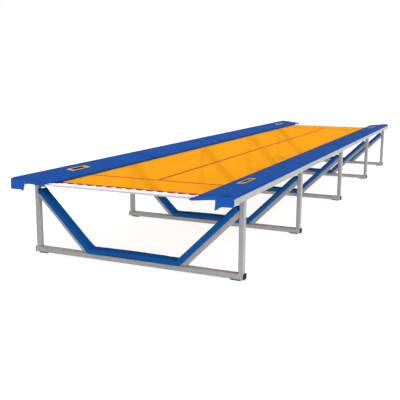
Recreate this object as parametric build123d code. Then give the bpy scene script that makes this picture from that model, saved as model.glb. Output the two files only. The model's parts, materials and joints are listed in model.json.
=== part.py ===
"""A tumbling track: a long, low trampoline for gymnastics runs, standing on five leg frames.

Millimetres. X runs across the track, Y along it and Z up. The origin is on the floor, under the middle of the bed.
Every leg frame, rail, spring row and pad is symmetric about X = 0 and Y = 0.
"""

from build123d import *
import math
import os

os.makedirs("parts", exist_ok=True)

# ---------------------------------------------------------------- driving dimensions
# The bed's width, the rail sections' length and the rail's height set the size of the whole track.
BED_WIDTH = 1830
RAIL_SECTIONS = 4
RAIL_SECTION_LENGTH = 2455
RAIL_TOP = 873

# Side rails: equal sections, butted end to end over the middle leg frames.
SPRING_ROOM = 270
RAIL_WIDTH = 80
RAIL_HEIGHT = 60
RAIL_CORNER = 12
RAIL_WALL = 3
RAIL_CAP = 3
END_OVERHANG = 370
SPLICE_LENGTH = 300

# Leg frames.
POST_INSET = 10
POST_SIZE = 60
POST_CORNER = 14
POST_WALL = 3
CROSS_PAST_POST = 1
CROSS_DEPTH = 80
CROSS_HEIGHT = 60
CROSS_CORNER_SHARE = 0.22
CROSS_WALL = 3
CROSS_CAP_THICKNESS = 8
CROSS_CAP_RIM = 1
CROSS_CAP_EDGE = 2.5
CAP_PLUG_LENGTH = 30
FOOT_LENGTH = 110
FOOT_DEPTH = 60
FOOT_THICKNESS = 12
FOOT_CORNER = 6
FOOT_INSET = 39
BRACE_DEPTH = 50
BRACE_THICKNESS = 56
BRACE_CORNER = 10
BRACE_WALL = 2.5
BRACE_BELOW_RAIL_TOP = 168
STUB_LENGTH = 90
STUB_WALL = 3
BOLT_RADIUS = 5
BOLT_HEAD_RADIUS = 9
BOLT_HEAD_THICKNESS = 6
BOLT_DROP = 45

# Padding on the leg frames.
LEG_PAD_THICKNESS = 51
LEG_PAD_WIDTH = 155
LEG_PAD_BELOW_RAIL_TOP = 128
LEG_PAD_LIFT = 4.5
LEG_PAD_RISE = 12
LEG_PAD_POST_GAP = 18

# Bed.
BED_BELOW_RAIL_TOP = 43
BED_FROM_RAIL_END = 260
BED_THICKNESS = 2.5
END_BAND_WIDTH = 95
SIDE_WEB_WIDTH = 50
WEB_THICKNESS = 2
LINE_WIDTH = 36
LINE_THICKNESS = 0.6
CROSS_LINE_FROM_END = 675

# Springs, with one eye plate on the rail and one ring plate on the bed for each.
SPRING_PITCH = 118
SPRING_END_MARGIN = 100
SPRING_RADIUS = 9
SPRING_BORE = 6.5
SPRING_CAP = 3
HOOK_WIRE = 2
HOOK_REACH = 27
HOOK_CLEARANCE = 0.75
PLATE_LENGTH = 32
PLATE_WIDTH = 22
PLATE_THICKNESS = 4
EYE_RADIUS = 7
EYE_FROM_EDGE = 12

# End ropes, the flanged ferrules that hold them to the rails, the cord wound between each rope and the
# bed's end, and the tabs that the cord passes under.
ROPE_RADIUS = 7
ROPE_FROM_RAIL_END = 153
FERRULE_WALL = 6
FERRULE_LENGTH = 40
FLANGE_THICKNESS = 5
FLANGE_WIDTH = 46
FLANGE_RISE = 32
FLANGE_DROP = 14
WINDING_RADIUS = 15
WINDING_EDGE = 8
TAB_PITCH = 120
TAB_SIDE_MARGIN = 75
TAB_WIDTH = 40
TAB_LENGTH = 50
TAB_THICKNESS = 1.5

# Side pads, one to a rail section, hinged on the rail's outer top edge.
PAD_THICKNESS = 40
PAD_OVER_BED = 69
PAD_OVERHANG = 10
PAD_ABOVE_BED = 3.5
PAD_GAP = 8
PAD_RELIEF = 20
PAD_RELIEF_LENGTH = 220
FLAP_WIDTH = 180
FLAP_BELOW_RAIL_TOP = 86
FLAP_THICKNESS = 3
FLAP_SET_IN = 1
LABEL_LENGTH = 360
LABEL_WIDTH = 90
LABEL_THICKNESS = 1
LABEL_FROM_PAD_INNER_EDGE = 204
LABEL_FROM_PAD_END = 925

# Clearances.
SLIDING = 0.3
RESTING = 0.3

# ---------------------------------------------------------------- worked out from them
RAIL_HALF_LENGTH = RAIL_SECTIONS * RAIL_SECTION_LENGTH / 2
RAIL_INNER_X = BED_WIDTH / 2 + SPRING_ROOM
RAIL_OUTER_X = RAIL_INNER_X + RAIL_WIDTH
RAIL_CENTRE_X = RAIL_OUTER_X - RAIL_WIDTH / 2
RAIL_BOTTOM = RAIL_TOP - RAIL_HEIGHT
RAIL_CENTRE_Z = RAIL_TOP - RAIL_HEIGHT / 2
RAIL_JOINTS = [
    -RAIL_HALF_LENGTH + RAIL_SECTION_LENGTH * n for n in range(1, RAIL_SECTIONS)
]
FRAME_Y = (
    [-RAIL_HALF_LENGTH + END_OVERHANG]
    + RAIL_JOINTS
    + [RAIL_HALF_LENGTH - END_OVERHANG]
)
POST_CENTRE_X = RAIL_CENTRE_X - POST_INSET
POST_INNER_X = POST_CENTRE_X - POST_SIZE / 2
CROSS_TOP = FOOT_THICKNESS + CROSS_HEIGHT
CROSS_CENTRE_Z = FOOT_THICKNESS + CROSS_HEIGHT / 2
CROSS_CORNER = CROSS_CORNER_SHARE * CROSS_HEIGHT
CROSS_TUBE_HALF = POST_CENTRE_X + POST_SIZE / 2 + CROSS_PAST_POST
CROSS_HALF_LENGTH = CROSS_TUBE_HALF + CROSS_CAP_THICKNESS
# The brace runs at 45 degrees; its middle line is Z = X - BRACE_SHIFT on the right-hand side.
BRACE_REACH = RAIL_TOP - BRACE_BELOW_RAIL_TOP - CROSS_CENTRE_Z
BRACE_FOOT_X = POST_CENTRE_X - BRACE_REACH
BRACE_SHIFT = BRACE_FOOT_X - CROSS_CENTRE_Z
SQRT2 = math.sqrt(2)
# The leg pad lies on the brace's upper face and keeps its thickness round both corners.
PAD_UNDER_SHIFT = BRACE_SHIFT - BRACE_THICKNESS / 2 * SQRT2 - RESTING * SQRT2
PAD_OVER_SHIFT = PAD_UNDER_SHIFT - LEG_PAD_THICKNESS * SQRT2
LEG_PAD_CORNER_Z = CROSS_TOP + LEG_PAD_LIFT
LEG_PAD_TOP = RAIL_TOP - LEG_PAD_BELOW_RAIL_TOP
BED_TOP = RAIL_TOP - BED_BELOW_RAIL_TOP
BED_LENGTH = 2 * (RAIL_HALF_LENGTH - BED_FROM_RAIL_END)
BED_MIDDLE_Z = BED_TOP - BED_THICKNESS / 2
WEB_TOP = BED_TOP + WEB_THICKNESS
HOOK_Z = BED_MIDDLE_Z + PLATE_THICKNESS / 2 + HOOK_WIRE + HOOK_CLEARANCE
BED_EYE_X = BED_WIDTH / 2 + PLATE_LENGTH - EYE_FROM_EDGE
RAIL_EYE_X = RAIL_INNER_X - PLATE_LENGTH + EYE_FROM_EDGE
SPRINGS_PER_SIDE = 1 + int((BED_LENGTH - 2 * SPRING_END_MARGIN) / SPRING_PITCH)
SPRING_Y = [(n - (SPRINGS_PER_SIDE - 1) / 2) * SPRING_PITCH for n in range(SPRINGS_PER_SIDE)]
PAD_INNER_X = BED_WIDTH / 2 - PAD_OVER_BED
PAD_INNER_BOTTOM = BED_TOP + PAD_ABOVE_BED
PAD_END_Y = RAIL_HALF_LENGTH + PAD_OVERHANG
PAD_REST_Z = RAIL_TOP + RESTING
PAD_SLOPE = (PAD_REST_Z - PAD_INNER_BOTTOM) / (RAIL_INNER_X - PAD_INNER_X)
FLAP_BOTTOM = RAIL_TOP - FLAP_BELOW_RAIL_TOP
LABEL_CENTRE_X = PAD_INNER_X + LABEL_FROM_PAD_INNER_EDGE
ROPE_Y = RAIL_HALF_LENGTH - ROPE_FROM_RAIL_END
ROPE_Z = BED_MIDDLE_Z
TABS = int((BED_WIDTH - 2 * TAB_SIDE_MARGIN) / TAB_PITCH)
WINDING_HALF = TABS * TAB_PITCH / 2


def save(name, solids):
    """Writes one node: every solid in the list, as one STEP file."""
    export_step(Compound(children=list(solids)), "parts/" + name + ".step")


def box(x0, x1, y0, y1, z0, z1):
    """A plain block between two corners."""
    size = (x1 - x0, y1 - y0, z1 - z0)
    middle = ((x0 + x1) / 2, (y0 + y1) / 2, (z0 + z1) / 2)
    return (Pos(*middle) * Box(*size)).solid()


def rounded_bar(width, height, corner, length):
    """A solid bar along +Z with a rounded rectangular section."""
    return extrude(RectangleRounded(width, height, corner), length).solid()


def rounded_tube(width, height, corner, wall, length):
    """A box-section tube along +Z, with its corners rounded inside and out."""
    inside = RectangleRounded(width - 2 * wall, height - 2 * wall, corner - wall)
    return extrude(RectangleRounded(width, height, corner) - inside, length).solid()


def along_x(shape, x, y, z):
    """Lays a bar made along +Z down along +X, with its section's first side along Y."""
    return Pos(x, y, z) * Rot(0, 90, 0) * Rot(0, 0, 90) * shape


def along_y(shape, x, y, z):
    """Lays a bar made along +Z down along +Y, with its section's first side along X."""
    return Pos(x, y, z) * Rot(-90, 0, 0) * shape


def plate_xz(points, y0, y1):
    """A flat-sided solid with an outline drawn across the track, between two places along it."""
    outline = Face(Wire.make_polygon([(x, y0, z) for x, z in points], close=True))
    return Solid.extrude(outline, Vector(0, y1 - y0, 0))


def mirrored_x(shape):
    """The same piece on the other side of the track."""
    return mirror(shape, about=Plane.YZ)


def both_sides(shape):
    """The piece and its mirror image across the track."""
    return [shape, mirrored_x(shape)]


# ---------------------------------------------------------------- leg frames
def cross_tube(y):
    """The rounded tube across the floor, under both posts of a leg frame."""
    tube = rounded_tube(CROSS_DEPTH, CROSS_HEIGHT, CROSS_CORNER, CROSS_WALL, 2 * CROSS_TUBE_HALF)
    return along_x(tube, -CROSS_TUBE_HALF, y, CROSS_CENTRE_Z)


def cross_tube_envelope(y):
    """The cross tube without its bore, used to cope what is welded on it."""
    bar = rounded_bar(CROSS_DEPTH, CROSS_HEIGHT, CROSS_CORNER, 2 * CROSS_TUBE_HALF)
    return along_x(bar, -CROSS_TUBE_HALF, y, CROSS_CENTRE_Z)


def bolt_cylinder(radius, x0, x1, y):
    """A round bar along X at the height of the leg bolts."""
    return Pos(x0, y, RAIL_BOTTOM - BOLT_DROP) * Rot(0, 90, 0) * extrude(Circle(radius), x1 - x0)


def post(y):
    """One upright, coped to the cross tube, with a bolt hole near its top."""
    tube = rounded_tube(POST_SIZE, POST_SIZE, POST_CORNER, POST_WALL, RAIL_BOTTOM - CROSS_CENTRE_Z)
    upright = Pos(POST_CENTRE_X, y, CROSS_CENTRE_Z) * tube
    upright = upright - cross_tube_envelope(y)
    hole = bolt_cylinder(BOLT_RADIUS + SLIDING, POST_INNER_X - 1, POST_INNER_X + POST_SIZE + 1, y)
    return (upright - hole).solid()


def post_envelope(y):
    """The post without its bore, used to cope the brace."""
    bar = rounded_bar(POST_SIZE, POST_SIZE, POST_CORNER, RAIL_BOTTOM - CROSS_CENTRE_Z)
    return Pos(POST_CENTRE_X, y, CROSS_CENTRE_Z) * bar


def brace(y):
    """The sloping tube from the cross tube up to the post, coped at both ends."""
    rise = POST_CENTRE_X - BRACE_FOOT_X
    tube = rounded_tube(BRACE_THICKNESS, BRACE_DEPTH, BRACE_CORNER, BRACE_WALL, rise * SQRT2)
    sloped = Pos(BRACE_FOOT_X, y, CROSS_CENTRE_Z) * Rot(0, 45, 0) * tube
    sloped = sloped - cross_tube_envelope(y)
    return (sloped - post_envelope(y)).solid()


def stub(y):
    """The short tube under the rail that the post slides over, drilled for its bolt."""
    size = POST_SIZE - 2 * POST_WALL - 2 * SLIDING
    corner = POST_CORNER - POST_WALL
    tube = rounded_tube(size, size, corner, STUB_WALL, STUB_LENGTH)
    placed = Pos(POST_CENTRE_X, y, RAIL_BOTTOM - STUB_LENGTH) * tube
    hole = bolt_cylinder(BOLT_RADIUS + SLIDING, POST_INNER_X, POST_INNER_X + POST_SIZE, y)
    return (placed - hole).solid()


def leg_bolt(y):
    """A bolt through the post and its stub, with a head inside and a nut outside."""
    inner = POST_INNER_X
    outer = POST_INNER_X + POST_SIZE
    shank = bolt_cylinder(BOLT_RADIUS, inner, outer, y)
    head = hex_end(inner - BOLT_HEAD_THICKNESS, y)
    nut = hex_end(outer, y)
    return (shank + head + nut).solid()


def hex_end(x, y):
    """A hexagon bolt head or nut, standing out along +X from x."""
    head = extrude(RegularPolygon(BOLT_HEAD_RADIUS, 6), BOLT_HEAD_THICKNESS)
    return Pos(x, y, RAIL_BOTTOM - BOLT_DROP) * Rot(0, 90, 0) * head


def foot(y):
    """A flat rubber foot, just inside the end of the cross tube."""
    outer = CROSS_HALF_LENGTH - FOOT_INSET
    pad = box(outer - FOOT_LENGTH, outer, y - FOOT_DEPTH / 2, y + FOOT_DEPTH / 2, 0, CROSS_CENTRE_Z)
    pad = pad.fillet(FOOT_CORNER, pad.edges().filter_by(Axis.Z))
    return (pad - cross_tube_envelope(y)).solid()


def cross_cap(y):
    """The black plug that closes an end of the cross tube."""
    disc = rounded_bar(
        CROSS_DEPTH + 2 * CROSS_CAP_RIM,
        CROSS_HEIGHT + 2 * CROSS_CAP_RIM,
        CROSS_CORNER + CROSS_CAP_RIM,
        CROSS_CAP_THICKNESS,
    )
    rim = disc.edges().group_by(Axis.Z)[-1]
    disc = disc.fillet(CROSS_CAP_EDGE, rim)
    width = CROSS_DEPTH - 2 * CROSS_WALL - 2 * SLIDING
    height = CROSS_HEIGHT - 2 * CROSS_WALL - 2 * SLIDING
    plug = rounded_bar(width, height, CROSS_CORNER - CROSS_WALL, CAP_PLUG_LENGTH)
    cap = disc + Pos(0, 0, -CAP_PLUG_LENGTH) * plug
    return along_x(cap.solid(), CROSS_TUBE_HALF, y, CROSS_CENTRE_Z)


def leg_pad_points():
    """The right-hand arm of the leg pad, seen along the track, from its inner bottom corner round."""
    inner_corner_x = LEG_PAD_CORNER_Z + LEG_PAD_THICKNESS + PAD_OVER_SHIFT
    outer_corner_x = LEG_PAD_CORNER_Z + PAD_UNDER_SHIFT
    end_x = POST_INNER_X - LEG_PAD_POST_GAP
    return [
        (outer_corner_x, LEG_PAD_CORNER_Z),
        (end_x, end_x - PAD_UNDER_SHIFT),
        (end_x, LEG_PAD_TOP),
        (LEG_PAD_TOP + PAD_OVER_SHIFT, LEG_PAD_TOP),
        (inner_corner_x, LEG_PAD_CORNER_Z + LEG_PAD_THICKNESS),
    ]


def leg_pad(y):
    """The three foam lengths of one leg frame's padding: an arm on each brace and an arched base."""
    arm_points = leg_pad_points()
    low_x, low_z = arm_points[0]
    high_x, high_z = arm_points[-1]
    front, back = y - LEG_PAD_WIDTH / 2, y + LEG_PAD_WIDTH / 2
    arm = plate_xz(arm_points, front, back)
    under = ThreePointArc((-low_x, front, low_z), (0, front, low_z + LEG_PAD_RISE), (low_x, front, low_z))
    over = ThreePointArc((high_x, front, high_z), (0, front, high_z + LEG_PAD_RISE), (-high_x, front, high_z))
    right_end = Line((low_x, front, low_z), (high_x, front, high_z))
    left_end = Line((-high_x, front, high_z), (-low_x, front, low_z))
    outline = Face(Wire([under.edge(), right_end.edge(), over.edge(), left_end.edge()]))
    base = Solid.extrude(outline, Vector(0, back - front, 0))
    return both_sides(arm) + [base]


def build_leg_frames():
    """Five alike frames, each of one cross tube, two posts, two braces and one folded pad."""
    for number, y in enumerate(FRAME_Y, 1):
        save(f"cross_tube_{number}", [cross_tube(y)])
        save(f"leg_posts_{number}", both_sides(post(y)))
        save(f"leg_braces_{number}", both_sides(brace(y)))
        save(f"leg_pad_{number}", leg_pad(y))
    for name, make in (
        ("foot_pads", foot),
        ("cross_tube_caps", cross_cap),
        ("rail_stubs", stub),
        ("leg_bolts", leg_bolt),
    ):
        pieces = []
        for y in FRAME_Y:
            pieces += both_sides(make(y))
        save(name, pieces)


# ---------------------------------------------------------------- side rails
def rail_section(number):
    """One length of the right-hand rail, counted from the near end; the outer ends stop at their caps."""
    start = -RAIL_HALF_LENGTH + RAIL_SECTION_LENGTH * number
    end = start + RAIL_SECTION_LENGTH
    if number == 0:
        start += RAIL_CAP
    if number == RAIL_SECTIONS - 1:
        end -= RAIL_CAP
    tube = rounded_tube(RAIL_WIDTH, RAIL_HEIGHT, RAIL_CORNER, RAIL_WALL, end - start)
    return along_y(tube, RAIL_CENTRE_X, start, RAIL_CENTRE_Z)


def rail_splice(y):
    """The sleeve inside two rail sections where they butt together."""
    width = RAIL_WIDTH - 2 * RAIL_WALL - 2 * SLIDING
    height = RAIL_HEIGHT - 2 * RAIL_WALL - 2 * SLIDING
    tube = rounded_tube(width, height, RAIL_CORNER - RAIL_WALL, RAIL_WALL, SPLICE_LENGTH)
    return along_y(tube, RAIL_CENTRE_X, y - SPLICE_LENGTH / 2, RAIL_CENTRE_Z)


def rail_cap():
    """The plastic plug that closes the right-hand rail at its far end."""
    disc = rounded_bar(RAIL_WIDTH, RAIL_HEIGHT, RAIL_CORNER, RAIL_CAP)
    width = RAIL_WIDTH - 2 * RAIL_WALL - 2 * SLIDING
    height = RAIL_HEIGHT - 2 * RAIL_WALL - 2 * SLIDING
    plug = rounded_bar(width, height, RAIL_CORNER - RAIL_WALL, CAP_PLUG_LENGTH)
    cap = disc + Pos(0, 0, -CAP_PLUG_LENGTH) * plug
    return along_y(cap.solid(), RAIL_CENTRE_X, RAIL_HALF_LENGTH - RAIL_CAP, RAIL_CENTRE_Z)


def build_rails():
    """Both rails, the sleeves that join their sections, and the four end plugs."""
    right = [rail_section(n) for n in range(RAIL_SECTIONS)]
    save("side_rail_right", right)
    save("side_rail_left", [mirrored_x(section) for section in right])
    splices = []
    for y in RAIL_JOINTS:
        splices += both_sides(rail_splice(y))
    save("rail_splices", splices)
    far = both_sides(rail_cap())
    save("rail_end_caps", far + [mirror(cap, about=Plane.XZ) for cap in far])


# ---------------------------------------------------------------- bed
def build_bed():
    """The woven bed, its webbing, its red lines and the ring plates that the springs hook into."""
    half_width = BED_WIDTH / 2
    half_length = BED_LENGTH / 2
    band_start = half_length - END_BAND_WIDTH
    web_start = half_width - SIDE_WEB_WIDTH
    cross_line = half_length - CROSS_LINE_FROM_END
    line_top = BED_TOP + LINE_THICKNESS
    save(
        "bed",
        [box(-half_width, half_width, -half_length, half_length, BED_TOP - BED_THICKNESS, BED_TOP)],
    )
    save(
        "bed_end_bands",
        [
            box(-half_width, half_width, -half_length, -band_start, BED_TOP, WEB_TOP),
            box(-half_width, half_width, band_start, half_length, BED_TOP, WEB_TOP),
        ],
    )
    save(
        "bed_side_webbing",
        both_sides(box(web_start, half_width, -band_start, band_start, BED_TOP, WEB_TOP)),
    )
    inner_end = cross_line - LINE_WIDTH / 2
    outer_end = cross_line + LINE_WIDTH / 2
    save(
        "bed_lines",
        [
            box(-LINE_WIDTH / 2, LINE_WIDTH / 2, -inner_end, inner_end, BED_TOP, line_top),
            box(-web_start, web_start, -outer_end, -inner_end, BED_TOP, line_top),
            box(-web_start, web_start, inner_end, outer_end, BED_TOP, line_top),
        ],
    )
    ring = eye_plate(half_width, BED_EYE_X)
    save("bed_rings", spring_row(ring) + [mirrored_x(r) for r in spring_row(ring)])
    tabs = []
    for n in range(TABS):
        x = TAB_PITCH * (n + 0.5) - WINDING_HALF
        x0, x1 = x - TAB_WIDTH / 2, x + TAB_WIDTH / 2
        tab = box(x0, x1, half_length - TAB_LENGTH, half_length, WEB_TOP, WEB_TOP + TAB_THICKNESS)
        tabs += [tab, mirror(tab, about=Plane.XZ)]
    save("bed_end_tabs", tabs)


def eye_plate(edge_x, eye_x):
    """A small plate from edge_x outwards or inwards, with the eye that a spring's hook drops into."""
    away = 1 if eye_x > edge_x else -1
    x0, x1 = sorted((edge_x, edge_x + away * PLATE_LENGTH))
    half = PLATE_THICKNESS / 2
    flat = box(x0, x1, -PLATE_WIDTH / 2, PLATE_WIDTH / 2, BED_MIDDLE_Z - half, BED_MIDDLE_Z + half)
    hole = Pos(eye_x, 0, BED_MIDDLE_Z - PLATE_THICKNESS) * extrude(Circle(EYE_RADIUS), 2 * PLATE_THICKNESS)
    return (flat - hole).solid()


def spring_row(piece):
    """Copies of a piece made at Y = 0, one for each spring of the right-hand row."""
    return [Pos(0, y, 0) * piece for y in SPRING_Y]


def spring():
    """One closed-coil spring of the right-hand row at Y = 0, with a hook at each end."""
    start = BED_EYE_X + HOOK_REACH
    end = RAIL_EYE_X - HOOK_REACH
    body = extrude(Circle(SPRING_RADIUS), end - start)
    bore = Pos(0, 0, SPRING_CAP) * extrude(Circle(SPRING_BORE), end - start - 2 * SPRING_CAP)
    coil = Pos(start, 0, HOOK_Z) * Rot(0, 90, 0) * (body - bore)
    drop = PLATE_THICKNESS + 2 * HOOK_WIRE
    for eye_x, from_x in ((BED_EYE_X, BED_EYE_X), (RAIL_EYE_X, end)):
        wire = Pos(from_x, 0, HOOK_Z) * Rot(0, 90, 0) * extrude(Circle(HOOK_WIRE), HOOK_REACH)
        tip = Pos(eye_x, 0, HOOK_Z - drop) * extrude(Circle(HOOK_WIRE), drop)
        knee = Pos(eye_x, 0, HOOK_Z) * Sphere(HOOK_WIRE)
        coil = coil + wire + tip + knee
    return coil.solid()


def build_springs():
    """A row of springs down each side and the eye plates on the rails that carry them."""
    row = spring_row(spring())
    save("side_springs_right", row)
    save("side_springs_left", [mirrored_x(s) for s in row])
    plates = spring_row(eye_plate(RAIL_INNER_X, RAIL_EYE_X))
    save("rail_eye_plates", plates + [mirrored_x(p) for p in plates])


# ---------------------------------------------------------------- ends of the bed
def winding():
    """The outer shape of the cord at the far end: round the rope, and narrowing to the bed's end."""
    edge_y = BED_LENGTH / 2
    low, high = ROPE_Z - WINDING_EDGE / 2, ROPE_Z + WINDING_EDGE / 2
    # Tangents from the two corners at the bed's end to the cylinder round the rope.
    away = math.hypot(ROPE_Y - edge_y, WINDING_EDGE / 2)
    turn = math.atan2(WINDING_EDGE / 2, ROPE_Y - edge_y) + math.acos(WINDING_RADIUS / away)
    touch_y = ROPE_Y - WINDING_RADIUS * math.cos(turn)
    touch_z = WINDING_RADIUS * math.sin(turn)
    corners = [(edge_y, low), (edge_y, high), (touch_y, ROPE_Z + touch_z), (touch_y, ROPE_Z - touch_z)]
    outline = Face(Wire.make_polygon([(-WINDING_HALF, y, z) for y, z in corners], close=True))
    wedge = Solid.extrude(outline, Vector(2 * WINDING_HALF, 0, 0))
    around = along_x(extrude(Circle(WINDING_RADIUS), 2 * WINDING_HALF), -WINDING_HALF, ROPE_Y, ROPE_Z)
    core = along_x(extrude(Circle(ROPE_RADIUS + SLIDING), 2 * WINDING_HALF), -WINDING_HALF, ROPE_Y, ROPE_Z)
    return (wedge + around - core).solid()


def rope_ferrule():
    """The sleeve at the far end's right-hand side, with a flange on the rail's inner face."""
    bore = ROPE_RADIUS + SLIDING
    sleeve = extrude(Circle(ROPE_RADIUS + FERRULE_WALL) - Circle(bore), FERRULE_LENGTH).solid()
    placed = along_x(sleeve, RAIL_INNER_X - FERRULE_LENGTH, ROPE_Y, ROPE_Z)
    flange = box(
        RAIL_INNER_X - FLANGE_THICKNESS,
        RAIL_INNER_X,
        ROPE_Y - FLANGE_WIDTH / 2,
        ROPE_Y + FLANGE_WIDTH / 2,
        ROPE_Z - FLANGE_DROP,
        ROPE_Z + FLANGE_RISE,
    )
    return (placed + flange).solid()


def build_ends():
    """The taut rope across each end, the ferrules that hold it to the rails, and the cord wound on it."""
    rope_half = RAIL_INNER_X - FLANGE_THICKNESS - SLIDING
    rope = along_x(extrude(Circle(ROPE_RADIUS), 2 * rope_half).solid(), -rope_half, ROPE_Y, ROPE_Z)
    far_ferrules = both_sides(rope_ferrule())
    cord = winding()
    save("end_ropes", [rope, mirror(rope, about=Plane.XZ)])
    save("rope_ferrules", far_ferrules + [mirror(f, about=Plane.XZ) for f in far_ferrules])
    save("end_lacing", [cord, mirror(cord, about=Plane.XZ)])


# ---------------------------------------------------------------- side pads
def pad_top(x):
    """Height of a side pad's upper face at a place across the track."""
    return pad_under(x) + PAD_THICKNESS


def pad_under(x):
    """Height of a side pad's under face: level on the rail, then sloping down to the bed's edge."""
    return PAD_REST_Z - PAD_SLOPE * max(0, RAIL_INNER_X - x)


def side_pad(number):
    """One right-hand pad, counted from the near end."""
    start = -RAIL_HALF_LENGTH + RAIL_SECTION_LENGTH * number + PAD_GAP / 2
    end = start + RAIL_SECTION_LENGTH - PAD_GAP
    if number == 0:
        start = -PAD_END_Y
    if number == RAIL_SECTIONS - 1:
        end = PAD_END_Y
    points = [
        (PAD_INNER_X, pad_under(PAD_INNER_X)),
        (RAIL_INNER_X, pad_under(RAIL_INNER_X)),
        (RAIL_OUTER_X, pad_under(RAIL_OUTER_X)),
        (RAIL_OUTER_X, pad_top(RAIL_OUTER_X)),
        (RAIL_INNER_X, pad_top(RAIL_INNER_X)),
        (PAD_INNER_X, pad_top(PAD_INNER_X)),
    ]
    pad = plate_xz(points, start, end)
    if number == 0:
        pad = pad - mirror(pad_relief(), about=Plane.XZ)
    if number == RAIL_SECTIONS - 1:
        pad = pad - pad_relief()
    return pad.solid()


def pad_relief():
    """The wedge cut from under the far end of a pad, between bed and rail, so that it clears the rope."""
    past = PAD_RELIEF_LENGTH / PAD_RELIEF
    start = PAD_END_Y - PAD_RELIEF_LENGTH
    low = pad_under(PAD_INNER_X)
    corners = [
        (start - past, low - 1),
        (PAD_END_Y + past, low - 1),
        (PAD_END_Y + past, low + PAD_RELIEF + 1),
    ]
    outline = Face(Wire.make_polygon([(PAD_INNER_X, y, z) for y, z in corners], close=True))
    run = RAIL_INNER_X - PAD_INNER_X
    wedge = Solid.extrude(outline, Vector(run, 0, run * PAD_SLOPE))
    return Pos(-1, 0, -PAD_SLOPE) * wedge + wedge


def end_flap():
    """The cover's hanging tail that hides the far end of the right-hand rail."""
    inner = RAIL_OUTER_X - FLAP_WIDTH
    from_start = PAD_RELIEF_LENGTH - FLAP_SET_IN - FLAP_THICKNESS
    raised = PAD_RELIEF * from_start / PAD_RELIEF_LENGTH
    points = [
        (inner, pad_under(inner) + raised),
        (inner, FLAP_BOTTOM),
        (RAIL_OUTER_X, FLAP_BOTTOM),
        (RAIL_OUTER_X, pad_under(RAIL_OUTER_X)),
        (RAIL_INNER_X, pad_under(RAIL_INNER_X)),
        (RAIL_INNER_X - 1, pad_under(RAIL_INNER_X - 1) + raised),
    ]
    return plate_xz(points, PAD_END_Y - FLAP_SET_IN - FLAP_THICKNESS, PAD_END_Y - FLAP_SET_IN)


def label():
    """The warning patch on the far right-hand pad, lying on its slope."""
    patch = box(-LABEL_WIDTH / 2, LABEL_WIDTH / 2, -LABEL_LENGTH / 2, LABEL_LENGTH / 2, 0, LABEL_THICKNESS)
    slope = math.degrees(math.atan(PAD_SLOPE))
    y = PAD_END_Y - LABEL_FROM_PAD_END
    return Pos(LABEL_CENTRE_X, y, pad_top(LABEL_CENTRE_X)) * Rot(0, -slope, 0) * patch


def build_side_pads():
    """Four pads a side, and the flaps and patches of the end ones."""
    for number in range(RAIL_SECTIONS):
        pad = side_pad(number)
        save(f"side_pad_right_{number + 1}", [pad])
        save(f"side_pad_left_{number + 1}", [mirrored_x(pad)])
    for name, far in (("end_flap", end_flap()), ("pad_label", label())):
        near = mirror(far, about=Plane.XZ)
        save(f"{name}_right_{RAIL_SECTIONS}", [far])
        save(f"{name}_left_{RAIL_SECTIONS}", [mirrored_x(far)])
        save(f"{name}_right_1", [near])
        save(f"{name}_left_1", [mirrored_x(near)])


build_leg_frames()
build_rails()
build_bed()
build_springs()
build_ends()
build_side_pads()
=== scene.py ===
"""A gymnastics tumbling track: covers, weave, ropes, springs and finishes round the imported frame.

All sizes are in metres.
"""

import json
import math

import bpy
from mathutils import Matrix, Vector
from mathutils.bvhtree import BVHTree

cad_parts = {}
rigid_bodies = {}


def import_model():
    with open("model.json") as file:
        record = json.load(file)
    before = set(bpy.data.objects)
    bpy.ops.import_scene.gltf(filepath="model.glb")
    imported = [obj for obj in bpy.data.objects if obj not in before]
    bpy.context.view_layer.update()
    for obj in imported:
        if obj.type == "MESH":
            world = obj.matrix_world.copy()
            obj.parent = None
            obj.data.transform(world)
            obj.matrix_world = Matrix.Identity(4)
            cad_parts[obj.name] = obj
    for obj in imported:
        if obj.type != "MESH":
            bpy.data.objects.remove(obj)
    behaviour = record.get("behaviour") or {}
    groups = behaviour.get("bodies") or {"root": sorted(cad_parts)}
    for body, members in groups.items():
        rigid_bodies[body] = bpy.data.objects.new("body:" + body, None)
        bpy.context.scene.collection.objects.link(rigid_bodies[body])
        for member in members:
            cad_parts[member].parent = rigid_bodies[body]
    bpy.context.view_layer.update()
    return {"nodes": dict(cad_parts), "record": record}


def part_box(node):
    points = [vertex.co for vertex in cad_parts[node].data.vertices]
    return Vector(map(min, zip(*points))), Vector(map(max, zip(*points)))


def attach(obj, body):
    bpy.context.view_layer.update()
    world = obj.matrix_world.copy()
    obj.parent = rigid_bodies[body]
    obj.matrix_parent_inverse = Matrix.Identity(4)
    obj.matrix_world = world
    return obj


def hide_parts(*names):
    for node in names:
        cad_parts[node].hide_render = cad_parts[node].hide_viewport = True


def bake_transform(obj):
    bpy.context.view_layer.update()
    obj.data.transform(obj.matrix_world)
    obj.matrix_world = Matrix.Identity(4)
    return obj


bl_info = {
    "name": "Tumbling Track",
    "version": (1, 0, 0),
    "blender": (4, 5, 0),
    "location": "View3D > Sidebar > Track",
    "description": "Makes the soft pieces, ropes, springs and finishes of a tumbling track",
    "category": "Object",
}

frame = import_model()

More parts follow.
